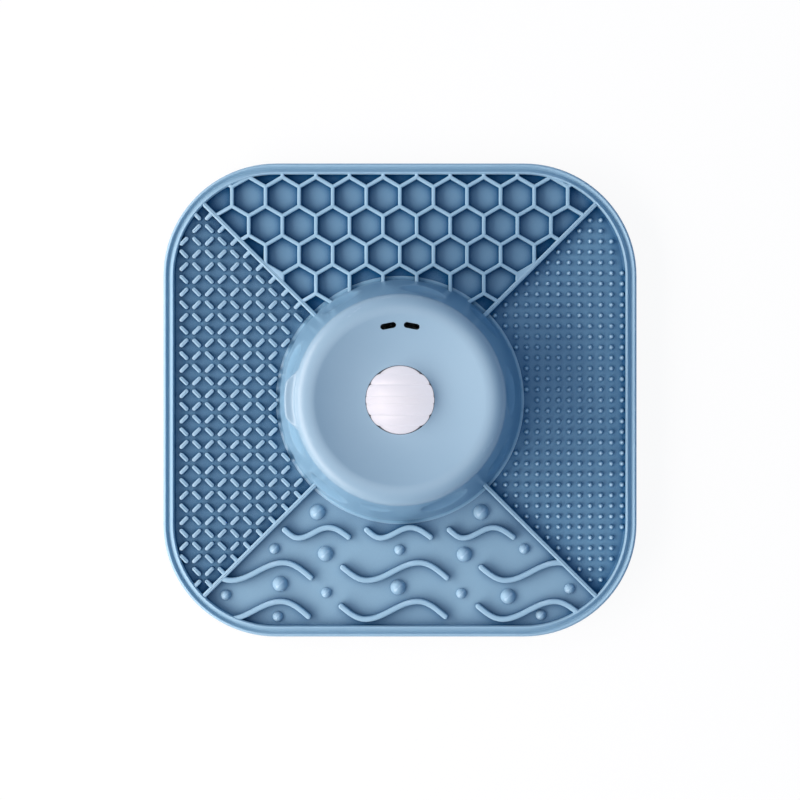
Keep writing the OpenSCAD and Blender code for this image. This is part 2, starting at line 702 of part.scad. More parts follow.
// Section of one half, with its pole on +Y and the joint on X
module ball_half_section(spigot) {
  r = (groove_w * groove_w / 4 + groove_depth * groove_depth) / (2 * groove_depth);
  joint_r = ball_r - ball_wall / 2;
  joint_len = ball_wall / 2;
  difference() {
    union() {
      intersection() {
        circle(ball_r);
        square(ball_r + overrun);
      }
      if (spigot) translate([0, fit - joint_len]) square([joint_r - fit, joint_len + overrun]);
    }
    circle(ball_r - ball_wall);
    if (!spigot) translate([0, -overrun]) square([joint_r, joint_len + overrun]);
    for (a = groove_angles)
      translate((ball_r + r - groove_depth) * [cos(a), sin(a)]) circle(r, $fn = 24);
  }
}

module ball_half(side) {
  color("#f4f2f8") translate([0, 0, ball_z]) rotate([-90 * side, 0, 0])
    rotate_extrude() ball_half_section(side < 0);
}

mat();
hub_housing();
hub_base();
corner_suction_cup(-1, -1);  // suction_cup_front_left
corner_suction_cup(1, -1);  // suction_cup_front_right
corner_suction_cup(-1, 1);  // suction_cup_back_left
corner_suction_cup(1, 1);  // suction_cup_back_right
suction_cup(centre_cup_r, foot_h - base_t);  // suction_cup_centre
reservoir_cup();
lid();
lid_seal();
ball_cage();
ball_half(-1);  // ball_front_half
ball_half(1);  // ball_back_half
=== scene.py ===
import math

import bmesh
import bpy
from mathutils import Matrix, Vector


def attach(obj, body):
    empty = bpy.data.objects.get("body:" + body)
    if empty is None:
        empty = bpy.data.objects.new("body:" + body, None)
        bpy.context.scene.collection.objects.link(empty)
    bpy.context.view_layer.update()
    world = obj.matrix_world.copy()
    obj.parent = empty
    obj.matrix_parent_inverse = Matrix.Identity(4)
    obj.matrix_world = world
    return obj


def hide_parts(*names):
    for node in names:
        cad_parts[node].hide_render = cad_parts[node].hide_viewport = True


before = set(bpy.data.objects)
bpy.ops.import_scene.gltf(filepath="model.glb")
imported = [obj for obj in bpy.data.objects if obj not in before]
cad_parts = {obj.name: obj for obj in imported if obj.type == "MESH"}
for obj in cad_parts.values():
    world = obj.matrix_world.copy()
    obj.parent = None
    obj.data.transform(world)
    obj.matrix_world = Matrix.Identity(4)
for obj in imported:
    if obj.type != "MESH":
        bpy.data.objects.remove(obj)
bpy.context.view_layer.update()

mm = 0.001    # every size below is in millimetres, the scene is in metres
near = {"weld": 0.004, "sliver": 0.001, "level": 0.01}    # points closer than this are one, flat or level
print("stage: frame loaded")


def linear(hexColour):
    # sRGB hex to the linear colour that a shader takes
    channels = [int(hexColour[i:i + 2], 16) / 255 for i in (1, 3, 5)]
    return [c / 12.92 if c <= 0.04045 else ((c + 0.055) / 1.055) ** 2.4 for c in channels] + [1.0]


def addNode(tree, kind, settings=None, links=None):
    node = tree.nodes.new(kind)
    for name, value in (settings or {}).items():
        if isinstance(name, int) or name in node.inputs:
            node.inputs[name].default_value = value
        else:
            setattr(node, name, value)
    for name, socket in (links or {}).items():
        tree.links.new(socket, node.inputs[name])
    return node


def paintedCornerShade(tree, look, tone):
    # painted shade: close corners, found by ambient occlusion, are darkened towards the shade colour and shine
    # less
    shader = tree.nodes["Principled BSDF"]
    nearby = addNode(tree, "ShaderNodeAmbientOcclusion", {"samples": 8, "Distance": look["shadeReach"] * mm})
    openness = addNode(tree, "ShaderNodeMapRange",
                       {"From Min": look["shadeFrom"], "From Max": look["shadeTo"]},
                       {"Value": nearby.outputs["AO"]}).outputs["Result"]
    gloss = addNode(tree, "ShaderNodeMath", {"operation": "MULTIPLY", 1: 0.5}, {0: openness})
    tree.links.new(gloss.outputs[0], shader.inputs["Specular IOR Level"])
    if "paintedGlow" in look:
        # painted glow: the surface gives off light where it is open, though it is no lamp
        paintedGlow = addNode(tree, "ShaderNodeMath", {"operation": "MULTIPLY", 1: look["paintedGlow"]}, {0: openness})
        tree.links.new(paintedGlow.outputs[0], shader.inputs["Emission Strength"])
        shader.inputs["Emission Color"].default_value = linear(look["paintedGlowColour"])
    return addNode(tree, "ShaderNodeMix", {"data_type": "RGBA", 6: linear(look["shadeColour"])},
                   {0: openness, 7: tone}).outputs[2]


def mouldedMaterial(name, look):
    # colour that drifts a little over the moulding, paler edges that are partly wear and partly painted
    # highlight, painted shade low down and in corners where the look gives it, and a fine grain from the tool
    material = bpy.data.materials.new(name)
    material.use_nodes = True
    tree = material.node_tree
    shader = tree.nodes["Principled BSDF"]
    place = addNode(tree, "ShaderNodeTexCoord").outputs["Object"]
    drift = addNode(tree, "ShaderNodeTexNoise",
                    {"Scale": 1 / (look["driftSize"] * mm), "Detail": 3, "Roughness": 0.55},
                    {"Vector": place}).outputs["Fac"]
    grain = addNode(tree, "ShaderNodeTexNoise",
                    {"Scale": 1 / (look["grainSize"] * mm), "Detail": 2, "Roughness": 0.6},
                    {"Vector": place}).outputs["Fac"]
    body = addNode(tree, "ShaderNodeMix",
                   {"data_type": "RGBA", 6: linear(look["colour"]), 7: linear(look["deepColour"])},
                   {0: drift}).outputs[2]
    low = body
    # painted shade: a darker tone for low surfaces, standing in for the light that floors between ribs miss
    if "paintedFloorShade" in look:
        low = addNode(tree, "ShaderNodeRGB").outputs[0]
        low.default_value = linear(look["paintedFloorShade"])
    if "shadeColour" in look:
        low = paintedCornerShade(tree, look, low)
    # paler edges by pointiness: partly wear, partly painted highlight where edges catch the light
    wearAndHighlight = addNode(tree, "ShaderNodeMapRange",
                   {"From Min": 0.5, "From Max": 0.5 + look["edgeSpread"], "To Max": look["edgeWearAndHighlight"]},
                   {"Value": addNode(tree, "ShaderNodeNewGeometry").outputs["Pointiness"]}).outputs["Result"]
    if "paintedFloorShade" in look:
        # painted shade and light: low surfaces take the painted floor shade, rising to the body colour up the
        # ribs so that rib tops are paler as if lit, and the paler edges show only up the ribs
        height = addNode(tree, "ShaderNodeSeparateXYZ", {}, {"Vector": place}).outputs["Z"]
        rib = addNode(tree, "ShaderNodeMapRange",
                      {"From Min": look["ribFrom"] * mm, "From Max": look["ribTo"] * mm,
                       "interpolation_type": "SMOOTHSTEP"}, {"Value": height}).outputs["Result"]
        low = addNode(tree, "ShaderNodeMix", {"data_type": "RGBA"}, {0: rib, 6: low, 7: body}).outputs[2]
        wearAndHighlight = addNode(tree, "ShaderNodeMath", {"operation": "MULTIPLY"}, {0: wearAndHighlight, 1: rib}).outputs[0]
    colour = addNode(tree, "ShaderNodeMix", {"data_type": "RGBA", 7: linear(look["edgeColour"])},
                     {0: wearAndHighlight, 6: low}).outputs[2]
    middle, spread = look["roughness"], look["roughSpread"]
    rough = addNode(tree, "ShaderNodeMapRange", {"To Min": middle - spread, "To Max": middle + spread},
                    {"Value": drift}).outputs["Result"]
    bump = addNode(tree, "ShaderNodeBump",
                   {"Strength": look["grainStrength"], "Distance": look["grainHeight"] * mm},
                   {"Height": grain}).outputs["Normal"]
    shader.inputs["IOR"].default_value = look["ior"]
    shader.inputs["Subsurface Weight"].default_value = look.get("glow", 0)
    shader.inputs["Subsurface Radius"].default_value = (0.8, 0.9, 1.0)
    shader.inputs["Subsurface Scale"].default_value = look.get("glowDepth", 1) * mm
    tree.links.new(colour, shader.inputs["Base Color"])
    tree.links.new(rough, shader.inputs["Roughness"])
    tree.links.new(bump, shader.inputs["Normal"])
    return material


# Moulded food-grade silicone: satin and soft, a touch paler at its edges, partly wear and partly painted
# highlight, with painted shade low on the floors and in close corners
silicone = {
    "colour": "#8eb1c6", "deepColour": "#87abc1", "edgeColour": "#a6c4d8",
    "edgeSpread": 0.12, "edgeWearAndHighlight": 0.6, "paintedFloorShade": "#7299b2", "ribFrom": 9.4, "ribTo": 12.0,
    "shadeColour": "#124c77", "shadeReach": 12, "shadeFrom": 0.45, "shadeTo": 0.98,
    "roughness": 0.5, "roughSpread": 0.04, "ior": 1.41, "driftSize": 9,
    "grainSize": 0.35, "grainStrength": 0.25, "grainHeight": 0.03, "glow": 0.05, "glowDepth": 1.2}
matSilicone = mouldedMaterial("moulded_silicone_blue", silicone)
# The same silicone on the quarters' floors, right, back, left and front: each has its own depth of painted
# shade, low down and in the corners between its ribs
floorLooks = {
    "dots": {"paintedFloorShade": "#648fab"},
    "honeycomb": {"shadeFrom": 0.42, "shadeTo": 0.9},
    "dashes": {"paintedFloorShade": "#739fbb", "shadeFrom": 0.3, "shadeTo": 0.66},
    "waves": {"paintedFloorShade": "#7da0b6", "shadeFrom": 0.2, "shadeTo": 0.93}}
floorSilicone = [mouldedMaterial("moulded_silicone_floor_" + quarter, {**silicone, **change})
                 for quarter, change in floorLooks.items()]
# And on the domes, which take no painted shade, and the dots, whose feet take the floor's painted shade and
# whose tips are paler, as if lit
unshaded = {name: value for name, value in silicone.items() if name not in ("paintedFloorShade", "shadeColour")}
domeSilicone = mouldedMaterial("moulded_silicone_domes",
                               {**unshaded, "colour": "#86a9c0", "deepColour": "#80a4bc"})
dotSilicone = mouldedMaterial("moulded_silicone_dots",
                              {**unshaded, "paintedFloorShade": "#638eaa", "ribFrom": 9.2, "ribTo": 10.7})
# Clearer, shinier silicone of the suction cups, from a polished tool
suctionSilicone = mouldedMaterial("clear_blue_suction_silicone", {
    "colour": "#a9c9e2", "deepColour": "#9dbfdb", "edgeColour": "#c3dcf0", "edgeSpread": 0.12, "edgeWearAndHighlight": 0.5,
    "roughness": 0.24, "roughSpread": 0.04, "ior": 1.41, "driftSize": 7,
    "grainSize": 0.5, "grainStrength": 0.1, "grainHeight": 0.02, "glow": 0.25, "glowDepth": 2})
# Satin polypropylene of the hub: smoother than the mat, with a broad soft highlight, and painted shade low on
# its wall where it meets the mat
hubPlastic = mouldedMaterial("satin_polypropylene_blue", {
    "colour": "#7ca3bc", "deepColour": "#769eb8", "edgeColour": "#a4c2d6", "edgeSpread": 0.06, "edgeWearAndHighlight": 0.8,
    "shadeColour": "#4f7a99", "shadeReach": 6, "shadeFrom": 0.25, "shadeTo": 0.65,
    "roughness": 0.29, "roughSpread": 0.03, "ior": 1.49, "driftSize": 16,
    "grainSize": 0.45, "grainStrength": 0.15, "grainHeight": 0.02})
# The lid's polypropylene has the same finish from a finer tool
lidPlastic = mouldedMaterial("satin_polypropylene_lid", {
    "colour": "#89a6b9", "deepColour": "#83a1b5", "edgeColour": "#9ab3c5", "edgeSpread": 0.1, "edgeWearAndHighlight": 0.35,
    "roughness": 0.38, "roughSpread": 0.03, "ior": 1.49, "driftSize": 20,
    "grainSize": 0.4, "grainStrength": 0.12, "grainHeight": 0.02})
# Polished polypropylene of the cup, so that food rinses off; painted near-black shade covers it where the
# closed hub hides it from the light
cupPlastic = mouldedMaterial("glossy_polypropylene_pale", {
    "colour": "#bfd5e5", "deepColour": "#b5cde0", "edgeColour": "#d2e3f0", "edgeSpread": 0.1, "edgeWearAndHighlight": 0.3,
    "shadeColour": "#020406", "shadeReach": 55, "shadeFrom": 0.08, "shadeTo": 0.3,
    "roughness": 0.18, "roughSpread": 0.03, "ior": 1.49, "driftSize": 14,
    "grainSize": 0.6, "grainStrength": 0.06, "grainHeight": 0.02})
# Milky silicone of the seal ring, which lets light soak in
sealSilicone = mouldedMaterial("milky_seal_silicone", {
    "colour": "#e2eaf2", "deepColour": "#d8e2ec", "edgeColour": "#f0f5fa", "edgeSpread": 0.12, "edgeWearAndHighlight": 0.4,
    "roughness": 0.35, "roughSpread": 0.04, "ior": 1.41, "driftSize": 6,
    "grainSize": 0.4, "grainStrength": 0.1, "grainHeight": 0.02, "glow": 0.3, "glowDepth": 1.5})
# White polypropylene of the cage
cagePlastic = mouldedMaterial("white_polypropylene", {
    "colour": "#eef1f5", "deepColour": "#e6eaf0", "edgeColour": "#f7f9fb", "edgeSpread": 0.1, "edgeWearAndHighlight": 0.3,
    "roughness": 0.4, "roughSpread": 0.03, "ior": 1.49, "driftSize": 10,
    "grainSize": 0.4, "grainStrength": 0.15, "grainHeight": 0.02})
# White moulded nylon of the ball, satin from tumbling. Its own colour is kept low, and a painted glow, light
# that it gives off where its surface is open, makes it white; painted violet-grey shade darkens its grooves
# and socket gap
ballNylon = mouldedMaterial("tumbled_white_nylon", {
    "colour": "#656267", "deepColour": "#605e63", "edgeColour": "#6f6c72", "edgeSpread": 0.1, "edgeWearAndHighlight": 0.4,
    "paintedGlowColour": "#f6f4ff", "paintedGlow": 0.7,
    "shadeColour": "#5c5a60", "shadeReach": 45, "shadeFrom": 0.1, "shadeTo": 0.5,
    "roughness": 0.56, "roughSpread": 0.04, "ior": 1.53, "driftSize": 5,
    "grainSize": 0.3, "grainStrength": 0.2, "grainHeight": 0.02, "glow": 0.85, "glowDepth": 9})
print("stage: materials")


def smoothStep(t):
    t = min(max(t, 0), 1)
    return t * t * (3 - 2 * t)


def arcPoints(centre, radiusX, radiusY, start, end, steps):
    # points on a round or oval stretch of an outline, angles in degrees
    angles = [math.radians(start + (end - start) * i / steps) for i in range(steps + 1)]
    return [(centre[0] + radiusX * math.cos(a), centre[1] + radiusY * math.sin(a)) for a in angles]


def softened(outline, radius):
    # a closed outline with its corners rounded off, but not those on the axis or nearly straight ones
    steps, leastTurn, mostShare = 3, 12, 0.45    # points, degrees, and share of a side that a corner takes
    done = []
    for i, corner in enumerate(outline):
        here = Vector(corner)
        before, after = Vector(outline[i - 1]) - here, Vector(outline[(i + 1) % len(outline)]) - here
        if min(here.x, before.length, after.length) < near["sliver"] \
                or math.degrees(math.pi - before.angle(after)) < leastTurn:
            done.append(tuple(here))
            continue
        a = here + before.normalized() * min(radius, before.length * mostShare)
        b = here + after.normalized() * min(radius, after.length * mostShare)
        for k in range(steps + 1):
            t = k / steps
            done.append(tuple(a * (1 - t) ** 2 + here * 2 * t * (1 - t) + b * t * t))
    return done


def turned(outline, steps, axis=(0, 0, 1)):
    # a turned shape: a closed outline of (radius, height) points spun once round an axis through the origin
    bm = bmesh.new()
    verts = [bm.verts.new((Vector((r, 0, 0)) + Vector(axis) * h) * mm) for r, h in outline]
    edges = [bm.edges.new(pair) for pair in zip(verts, verts[1:] + verts[:1])]
    bmesh.ops.spin(bm, geom=verts + edges, cent=(0, 0, 0), axis=axis, angle=2 * math.pi, steps=steps,
                   use_merge=True)
    bmesh.ops.remove_doubles(bm, verts=bm.verts, dist=near["weld"] * mm)
    bmesh.ops.dissolve_degenerate(bm, edges=bm.edges, dist=near["sliver"] * mm)
    bmesh.ops.recalc_face_normals(bm, faces=bm.faces)
    return bm


def rod(r, tall):
    # outline of a plain rod, to be turned
    return [(0, 0), (r, 0), (r, tall), (0, tall)]


def everything(bm):
    return bm.verts[:] + bm.edges[:] + bm.faces[:]


def topEdges(bm):
    high = max(v.co.z for v in bm.verts)
    return [e for e in bm.edges if all(v.co.z > high - near["level"] * mm for v in e.verts)]


def roundEdges(bm, edges, size, steps):
    bmesh.ops.bevel(bm, geom=edges, offset=size * mm, segments=steps, profile=0.5, affect="EDGES",
                    material=-1)


def roundedBlock(length, width, bottom, top, cornerR, cornerSteps):
    # a block whose four standing edges are rounded
    bm = bmesh.new()
    size = Matrix.Diagonal((length * mm, width * mm, (top - bottom) * mm, 1))
    bmesh.ops.create_cube(bm, size=1, matrix=Matrix.Translation((0, 0, (top + bottom) * mm / 2)) @ size)
    standing = [e for e in bm.edges if abs(e.verts[0].co.z - e.verts[1].co.z) > near["level"] * mm]
    roundEdges(bm, standing, cornerR, cornerSteps)
    return bm


def roundedBar(length, width, height, topRound, endSteps=4, topSteps=2, cuts=0):
    # a bar along X that stands on z = 0, with round ends, softened top edges and cuts to bend it at
    almostHalf = 0.499    # a full half would fold the ends' last edges away
    bm = roundedBlock(length, width, 0, height, width * almostHalf, endSteps)
    if topRound:
        roundEdges(bm, topEdges(bm), topRound, topSteps)
    for i in range(cuts):
        x = (-length / 2 + width / 2 + (length - width) * i / (cuts - 1)) * mm
        bmesh.ops.bisect_plane(bm, geom=everything(bm), plane_co=(x, 0, 0), plane_no=(1, 0, 0),
                               dist=near["sliver"] * mm)
    return bm


def meshOf(bm, name="template"):
    mesh = bpy.data.meshes.new(name)
    bm.to_mesh(mesh)
    bm.free()
    return mesh


def scattered(bm, template, places):
    # adds a copy of the template at each place
    for place in places:
        template.transform(place)
        bm.from_mesh(template)
        template.transform(place.inverted())
    return bm


def placed(x, y, z, turn=0):
    return Matrix.Translation((x * mm, y * mm, z * mm)) @ Matrix.Rotation(math.radians(turn), 4, "Z")


def solid(bm, name="solid"):
    block = bpy.data.objects.new(name, meshOf(bm, name))
    bpy.context.scene.collection.objects.link(block)
    return block


def carved(piece, block, operation):
    # cuts, joins or trims a piece by a block, which is used up
    modifier = piece.modifiers.new("carve", "BOOLEAN")
    modifier.solver = "MANIFOLD"
    modifier.operation = operation
    modifier.object = block
    bpy.context.view_layer.update()
    result = bpy.data.meshes.new_from_object(piece.evaluated_get(bpy.context.evaluated_depsgraph_get()))
    piece.modifiers.clear()
    piece.data = result
    bpy.data.objects.remove(block)


def finished(piece, name, material, body, node, sharp=32):
    # sharp is the angle in degrees from which an edge shows as a crease
    piece.name = piece.data.name = name
    piece.data.materials.clear()
    piece.data.materials.append(material)
    piece.data.shade_smooth()
    piece.data.set_sharp_from_angle(angle=math.radians(sharp))
    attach(piece, body)
    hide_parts(node)
    print("  piece:", name, len(piece.data.polygons), "faces")


# The silicone mat: tray, dividers and four textures
mat = {
    "width": 200, "cornerR": 47.6, "cornerSteps": 24, "underside": 6, "floorT": 2.6,
    "bottomRound": 0.6, "bottomSteps": 3,
    "rimW": 4.6, "outerRidge": 3.7, "innerRidge": 4.0, "grooveDepth": 1.2,
    "ridgeShares": [0, 0.2, 0.47, 0.87, 1],    # outer face, outer crest, groove, inner crest, inner face
    "roundShare": 0.78, "rimSteps": 30,
    "fillet": 0.7, "filletSteps": 5, "wallLean": 0.02, "floorBand": 0.5,
    "holeR": 50.4, "textureCutR": 49.8, "textureSpace": 8, "cutH": 30, "turnSteps": 144,
    "sink": 0.3, "deepSink": 0.6,    # how far a texture reaches into the floor
    "socketAt": 64, "socketR": 6.8, "socketH": 3.5, "socketDrop": 2.6, "socketRound": 0.4, "socketSteps": 48,
    # radius and height of the socket's inside, above its foot
    "pocket": [(0, -0.5), (2.9, -0.5), (2.9, 1.8), (4.3, 1.8), (4.3, 4), (0, 4)]}
floorTop = mat["underside"] + mat["floorT"]
crestInset = mat["rimW"] * mat["ridgeShares"][3]


def rimHeight(share):
    # height of the double ridge above the floor, from the outer face (0) to the inner one (1)
    s, flat = mat["ridgeShares"], mat["roundShare"]
    outer, inner = mat["outerRidge"], mat["innerRidge"]
    low = min(outer, inner) - mat["grooveDepth"]
    if share <= s[1]:
        return outer * (flat + (1 - flat) * math.sin(math.pi / 2 * share / s[1]))
    if share <= s[2]:
        return outer - (outer - low) * (1 - math.cos(math.pi * (share - s[1]) / (s[2] - s[1]))) / 2
    if share <= s[3]:
        return low + (inner - low) * (1 - math.cos(math.pi * (share - s[2]) / (s[3] - s[2]))) / 2
    return inner * (flat + (1 - flat) * math.cos(math.pi / 2 * (share - s[3]) / (1 - s[3])))


def matSlab(inset, bottom, top):
    # a slab with the mat's outline, taken in by the inset
    side = mat["width"] - 2 * inset
    return roundedBlock(side, side, bottom, top, mat["cornerR"] - inset, mat["cornerSteps"])


def rimWalk():
    # the rim's section and the fillet at its foot, as steps inwards and up
    walk = []
    for i in range(mat["rimSteps"]):
        a, b = i / mat["rimSteps"], (i + 1) / mat["rimSteps"]
        walk.append((mat["rimW"] * (b - a), rimHeight(b) - rimHeight(a)))
    walk.append((mat["wallLean"], mat["fillet"] - rimHeight(1)))
    turn = [math.radians(90 * i / mat["filletSteps"]) for i in range(mat["filletSteps"] + 1)]
    for a, b in zip(turn, turn[1:]):
        inward, rise = math.cos(a) - math.cos(b), math.sin(a) - math.sin(b)
        walk.append((mat["fillet"] * inward, mat["fillet"] * rise))
    walk.append((mat["floorBand"], 0))
    return walk


def trayPiece():
    bm = matSlab(0, mat["underside"], floorTop + rimHeight(0))
    low = [e for e in bm.edges if all(v.co.z < (mat["underside"] + near["level"]) * mm for v in e.verts)]
    roundEdges(bm, low, mat["bottomRound"], mat["bottomSteps"])
    top = max(bm.faces, key=lambda f: f.calc_center_median().z)
    for inward, rise in rimWalk():
        bmesh.ops.inset_region(bm, faces=[top], thickness=max(inward, near["level"]) * mm, depth=rise * mm,
                               use_even_offset=True, use_boundary=True)
    tray = solid(bm)
    at = mat["socketAt"]
    sockets = [placed(x, y, mat["underside"] - mat["socketDrop"]) for x in (-at, at) for y in (-at, at)]
    boss = turned(softened(rod(mat["socketR"], mat["socketH"]), mat["socketRound"]), mat["socketSteps"])
    carved(tray, solid(scattered(bmesh.new(), meshOf(boss), sockets)), "UNION")
    pocket = turned(mat["pocket"], mat["socketSteps"])
    carved(tray, solid(scattered(bmesh.new(), meshOf(pocket), sockets)), "DIFFERENCE")
    carved(tray, solid(turned(rod(mat["holeR"], mat["cutH"]), mat["turnSteps"])), "DIFFERENCE")
    # the floor parts along the dividers, so that each quarter has its own depth of painted shade
    bm = bmesh.new()
    bm.from_mesh(tray.data)
    for normal in ((1, 1, 0), (1, -1, 0)):
        bmesh.ops.bisect_plane(bm, geom=everything(bm), plane_co=(0, 0, 0), plane_no=normal,
                               dist=near["sliver"] * mm)
    bm.to_mesh(tray.data)
    bm.free()
    finished(tray, "mat_tray", matSilicone, "base", "mat")
    for material in floorSilicone:
        tray.data.materials.append(material)
    for face in tray.data.polygons:
        x, y, z = face.center / mm
        if face.normal.z > 0.1 and abs(z - floorTop) < mat["fillet"]:
            face.material_index = 1 + round(math.degrees(math.atan2(y, x)) / 90) % 4


def trimmed(bm, quarterTurn):
    # a texture cut to its quarter: between two dividers, under the rim's inner crest and round the hub
    region = matSlab(crestInset, floorTop - mat["sink"], floorTop + mat["textureSpace"])
    for side in (1, -1):
        edge = math.radians(quarterTurn + 45 * side)
        cut = bmesh.ops.bisect_plane(region, geom=everything(region), plane_co=(0, 0, 0), clear_outer=True,
                                     plane_no=(-side * math.sin(edge), side * math.cos(edge), 0))
        bmesh.ops.holes_fill(region, edges=[e for e in cut["geom_cut"] if isinstance(e, bmesh.types.BMEdge)])
    texture = solid(bm)
    carved(texture, solid(region), "INTERSECT")
    carved(texture, solid(turned(rod(mat["textureCutR"], mat["cutH"]), mat["turnSteps"])), "DIFFERENCE")
    return texture


dividers = {"width": 1.9, "height": 3.7, "topRound": 0.55, "topSteps": 4, "from": 49.9}


def dividerPiece():
    reach = (mat["width"] / 2 - mat["cornerR"]) * math.sqrt(2) + mat["cornerR"] - crestInset
    bar = roundedBar(reach - dividers["from"], dividers["width"], dividers["height"] + mat["sink"],
                     dividers["topRound"], topSteps=dividers["topSteps"])
    middle = (reach + dividers["from"]) / 2 * math.sqrt(0.5)
    places = [placed(x * middle, y * middle, floorTop - mat["sink"], 45 * x * y)
              for x in (-1, 1) for y in (-1, 1)]
    finished(solid(scattered(bmesh.new(), meshOf(bar), places)), "mat_dividers", matSilicone, "base", "mat")


honeycomb = {"pitch": 14.2, "wall": 1.6, "height": 3.6, "topRound": 0.5, "topSteps": 3, "rows": (2, 10)}


def honeycombPiece():
    pitch, wall, tall = honeycomb["pitch"], honeycomb["wall"], honeycomb["height"]
    rowPitch = pitch * math.sqrt(3) / 2
    bm = bmesh.new()
    for row in range(*honeycomb["rows"]):
        across = math.ceil(row * rowPitch / pitch) + 1
        for column in range(-across, across + 1):
            x = (column + (row % 2) / 2) * pitch
            bmesh.ops.create_circle(bm, cap_ends=True, segments=6, radius=pitch / math.sqrt(3) * mm,
                                    matrix=placed(x, row * rowPitch, floorTop + tall))
    bmesh.ops.remove_doubles(bm, verts=bm.verts, dist=near["level"] * mm)
    # a cell that a divider leaves open by less than half a wall stays solid
    cellR = (pitch - wall) / math.sqrt(3)
    cornerTurn = 15    # degrees between a cell's nearest corner and the divider's square
    reach = cellR * math.cos(math.radians(cornerTurn)) - (dividers["width"] + wall) / 2
    middles = {f: f.calc_center_median() / mm for f in bm.faces}
    cells = [f for f, m in middles.items() if (abs(m.x) - m.y) / math.sqrt(2) < reach]
    bmesh.ops.inset_individual(bm, faces=cells, thickness=wall / 2 * mm, use_even_offset=True)
    bmesh.ops.delete(bm, geom=cells, context="FACES_ONLY")
    bmesh.ops.recalc_face_normals(bm, faces=bm.faces)
    bmesh.ops.solidify(bm, geom=bm.faces[:], thickness=(tall + mat["deepSink"]) * mm)
    bmesh.ops.recalc_face_normals(bm, faces=bm.faces)
    rims = [e for e in topEdges(bm) if any(abs(f.normal.z) < 0.5 for f in e.link_faces)]
    roundEdges(bm, rims, honeycomb["topRound"], honeycomb["topSteps"])
    finished(trimmed(bm, 90), "mat_honeycomb", matSilicone, "base", "mat")


dashes = {"pitch": 5.37, "length": 4.7, "width": 1.7, "height": 3.6, "topRound": 0.4, "endSteps": 3,
          "hubClear": 53.4}


def insideRim(x, y, margin):
    half = mat["width"] / 2 - mat["rimW"] - margin
    r = mat["cornerR"] - mat["rimW"] - margin
    dx, dy = abs(x) - (half - r), abs(y) - (half - r)
    return max(dx, dy) <= r and (dx < 0 or dy < 0 or math.hypot(dx, dy) <= r)


def dashPiece():
    pitch = dashes["pitch"]
    bar = roundedBar(dashes["length"], dashes["width"], dashes["height"] + mat["deepSink"],
                     dashes["topRound"], endSteps=dashes["endSteps"])
    last = int((mat["width"] / 2 - mat["rimW"]) / pitch)
    places = []
    for column in range(1, last + 1):
        for row in range(-last, last):
            x, y = -column * pitch, (row + 0.5) * pitch
            if math.hypot(x, y) > dashes["hubClear"] and abs(y) < -x and insideRim(x, y, 0):
                turn = -45 if (column + row) % 2 == 0 else 45
                places.append(placed(x, y, floorTop - mat["deepSink"], turn))
    texture = trimmed(scattered(bmesh.new(), meshOf(bar), places), 180)
    finished(texture, "mat_dashes", matSilicone, "base", "mat")


dots = {"pitch": 4.48, "baseD": 2.4, "tipD": 1.1, "height": 2, "tipRound": 0.4, "tipSteps": 2, "sides": 12,
        "hubClear": 52.6}


def dotPiece():
    pitch, edge = dots["pitch"], dots["baseD"] / 2
    tall = dots["height"] + mat["sink"]
    dot = bmesh.new()
    bmesh.ops.create_cone(dot, cap_ends=True, segments=dots["sides"], radius1=edge * mm,
                          radius2=dots["tipD"] / 2 * mm, depth=tall * mm)
    roundEdges(dot, topEdges(dot), dots["tipRound"], dots["tipSteps"])
    last = int((mat["width"] / 2 - mat["rimW"]) / pitch)
    places = []
    for column in range(1, last + 1):
        for row in range(-last, last + 1):
            x, y = column * pitch, row * pitch
            clear = abs(y) < x - dividers["width"] / math.sqrt(2) - edge
            if math.hypot(x, y) > dots["hubClear"] + edge and clear and insideRim(x, y, edge):
                places.append(placed(x, y, floorTop - mat["sink"] + tall / 2))
    texture = solid(scattered(bmesh.new(), meshOf(dot), places))
    finished(texture, "mat_dots", dotSilicone, "base", "mat", sharp=50)


waves = {
    "width": 2.3, "height": 3.6, "topRound": 0.75, "topSteps": 4, "endSteps": 6, "cuts": 26, "slopeStep": 0.2,
    "short": {"length": 27, "rise": 4.4, "line": [(0, 0.78), (0.216, 0), (0.69, 1), (1, 0.08)],
              "places": [(-48.8, -58.37), (-14.05, -58.37), (20.9, -58.37)]},
    "long": {"length": 44, "rise": 7.5, "line": [(0, 0.73), (0.232, 0), (0.738, 1), (1, 0.15)],
             "places": [(-81.7, -76.3), (-24.2, -76.3), (34.4, -76.3),
                        (-82.7, -92.7), (-24.85, -92.7), (33.1, -92.7)]}}


def waveHeight(kind, x):
    # height of a wave's middle line above its trough: a quarter bend, a half bend and a quarter bend
    share = min(max(x / kind["length"], 0), 1)
    line = kind["line"]
    k = 0 if share < line[1][0] else 1 if share < line[2][0] else 2
    t = (share - line[k][0]) / (line[k + 1][0] - line[k][0])
    bend = (math.sin(math.pi / 2 * t), (1 - math.cos(math.pi * t)) / 2, 1 - math.cos(math.pi / 2 * t))[k]
    return kind["rise"] * (line[k][1] + (line[k + 1][1] - line[k][1]) * bend)


def waveRib(kind):
    # a straight bar bent along the wave's middle line
    bar = roundedBar(kind["length"] + waves["width"], waves["width"], waves["height"] + mat["deepSink"],
                     waves["topRound"], waves["endSteps"], waves["topSteps"], waves["cuts"])
    for v in bar.verts:
        x, side = v.co.x / mm + kind["length"] / 2, v.co.y / mm
        on = min(max(x, 0), kind["length"])
        start, end = max(on - waves["slopeStep"], 0), min(on + waves["slopeStep"], kind["length"])
        slope = math.atan2(waveHeight(kind, end) - waveHeight(kind, start), end - start)
        past = x - on
        v.co.x = (on + past * math.cos(slope) - side * math.sin(slope)) * mm
        v.co.y = (waveHeight(kind, on) + past * math.sin(slope) + side * math.cos(slope)) * mm
    return meshOf(bar)


